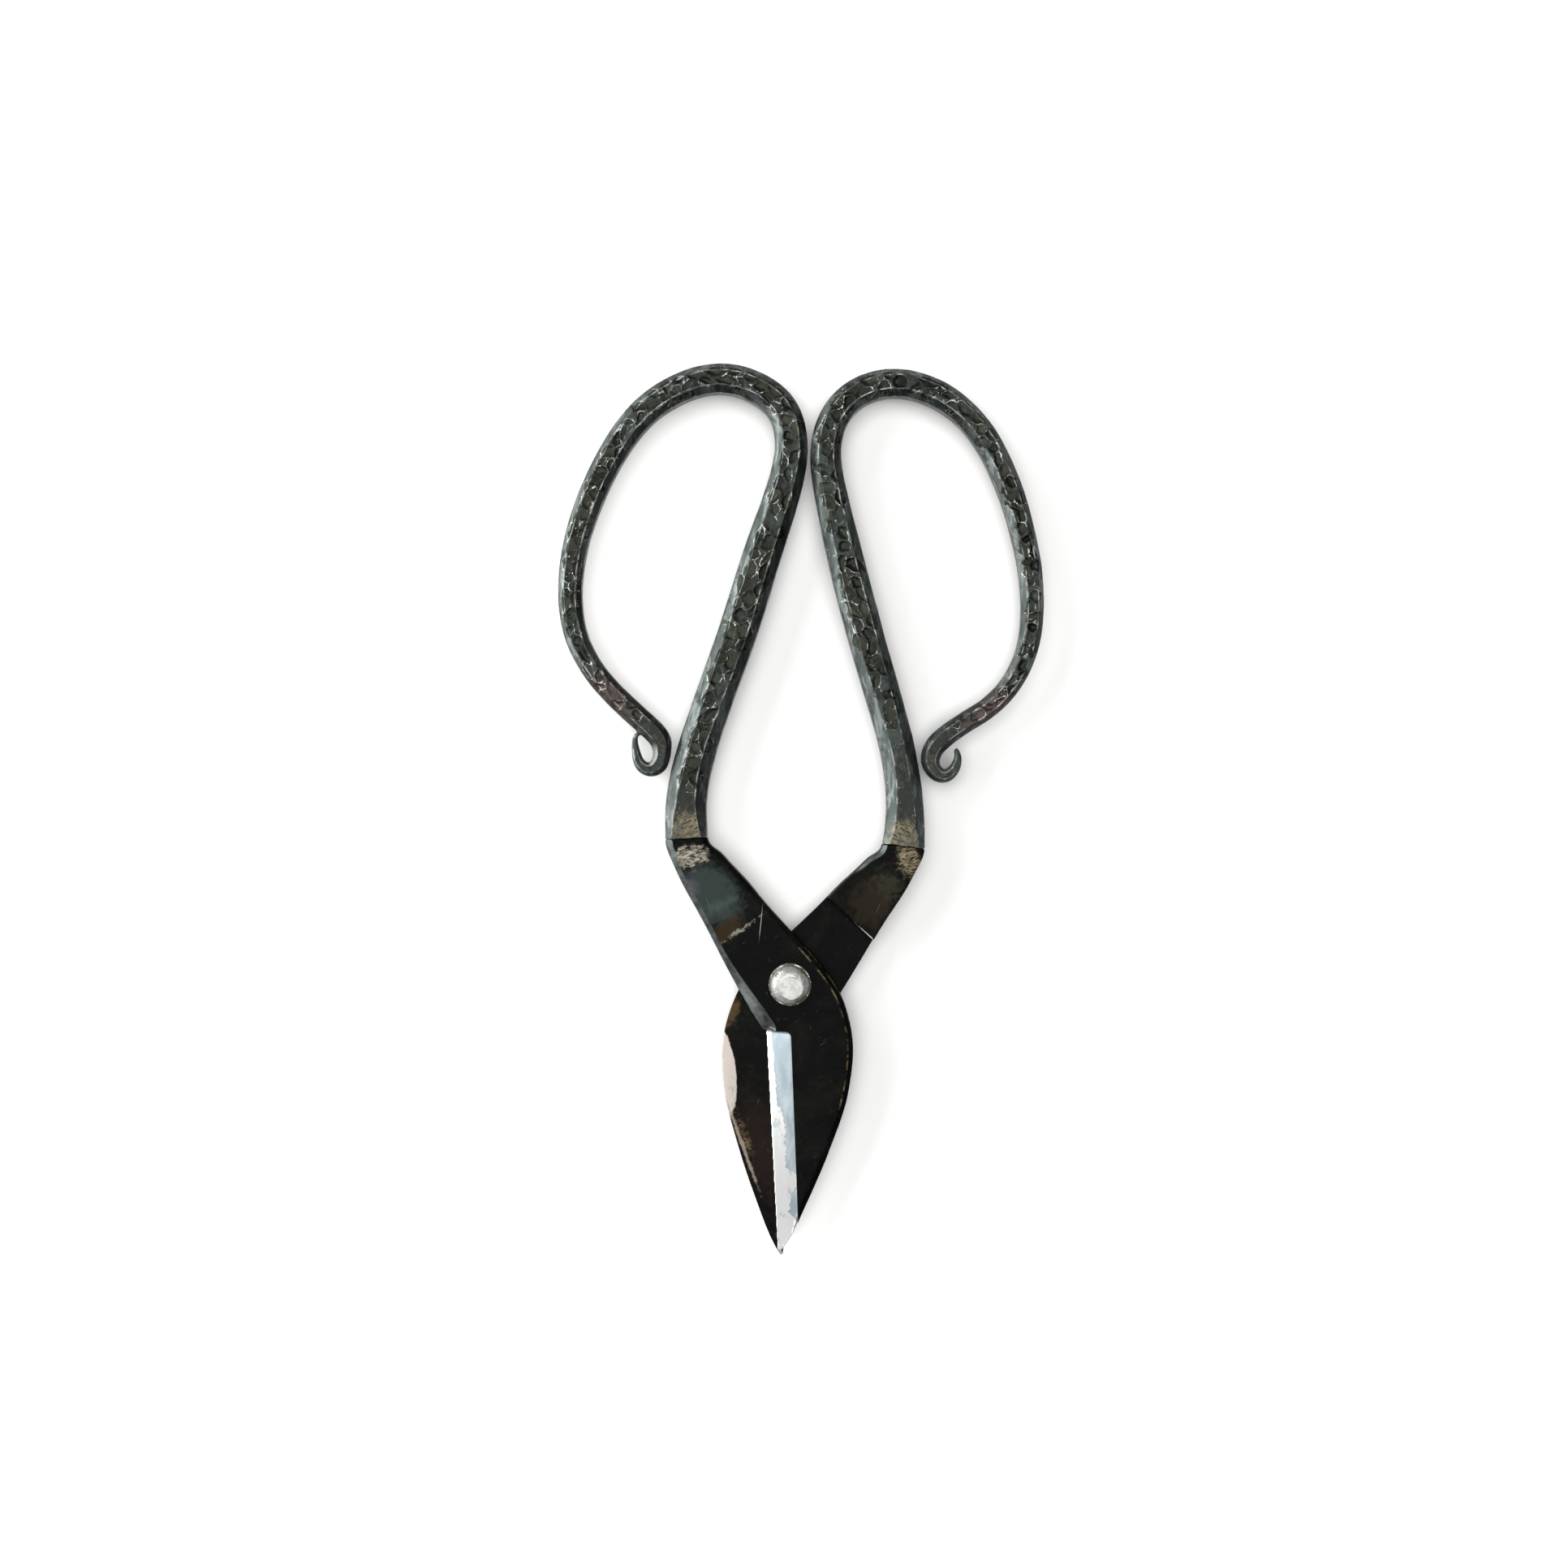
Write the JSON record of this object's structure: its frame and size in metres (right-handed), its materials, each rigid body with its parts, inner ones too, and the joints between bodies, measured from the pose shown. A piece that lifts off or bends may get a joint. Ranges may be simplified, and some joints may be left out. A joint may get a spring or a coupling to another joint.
{
  "type": "fabric shears",
  "caption": "Hand-forged fabric shears with open teardrop bows, curled bar ends, short broad lapped blades with ground bevels, and a domed pivot rivet.",
  "frame": {"origin": "on the pivot axis, at the centre of the rivet's flat peened foot, the lowest point of the shears as they lie", "axes": "+Z along the pivot axis, from the foot to the domed head; +Y from the pivot to the bows, so the points are at -Y; +X to the bow of the lower half; stored closed"},
  "size_m": [0.0984, 0.1799, 0.0109],
  "materials": {
    "forged_iron": "black forge scale over soft iron, worn to bare metal on the corners",
    "ground_steel": "ground bright",
    "hammered_bar": "hammered and oiled black-brown scale",
    "rivet_steel": "hammered bright, grimy at the rim"
  },
  "bodies": {
    "back_half": {"back_blade": "forged_iron", "back_edge_steel": "ground_steel", "back_handle": "hammered_bar", "rivet": "rivet_steel", "front_washer": "rivet_steel", "back_washer": "rivet_steel"},
    "front_half": {"front_blade": "forged_iron", "front_edge_steel": "ground_steel", "front_handle": "hammered_bar"}
  },
  "joints": [
    {"name": "pivot", "type": "hinge", "parent": "back_half", "child": "front_half", "pos_m": [0, 0, 0], "axis": [0, 0, 1], "range_deg": [0, 70]}
  ]
}
